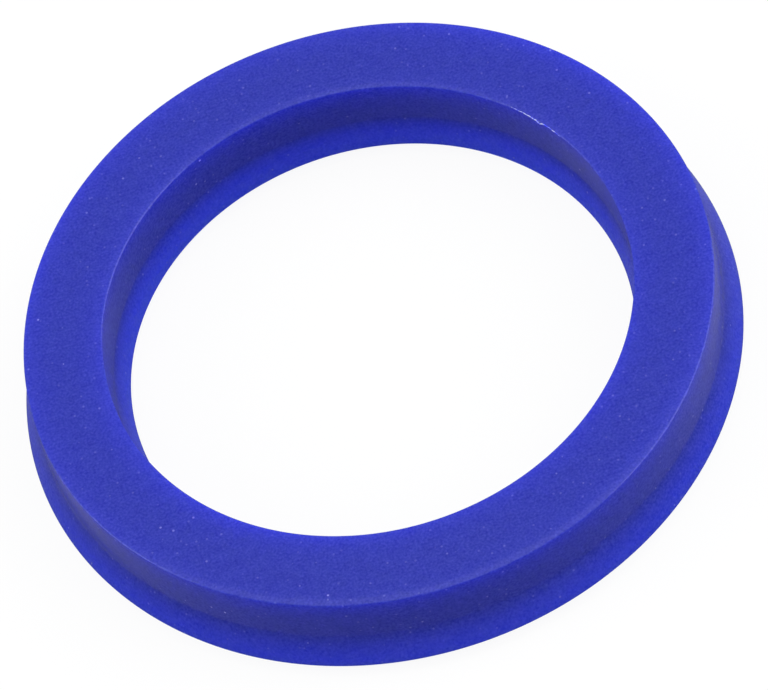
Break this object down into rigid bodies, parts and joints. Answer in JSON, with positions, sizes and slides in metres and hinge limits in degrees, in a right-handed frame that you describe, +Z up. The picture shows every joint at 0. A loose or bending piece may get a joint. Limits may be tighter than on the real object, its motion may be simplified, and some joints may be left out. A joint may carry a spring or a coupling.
{
  "type": "u cup seal",
  "caption": "Moulded blue polyurethane U-cup seal ring: a flat heel and flared inner and outer lips that seal a sliding rod in its housing bore.",
  "frame": {"origin": "on the ring's axis, in the plane of the lip tips that it rests on", "axes": "+Z up the ring's axis, from the lip tips to the flat heel; the ring is round, so X and Y are any two radii"},
  "size_m": [0.0432, 0.0432, 0.006],
  "materials": {
    "polyurethane": "satin"
  },
  "bodies": {
    "root": {"u_cup_seal": "polyurethane"}
  },
  "joints": []
}
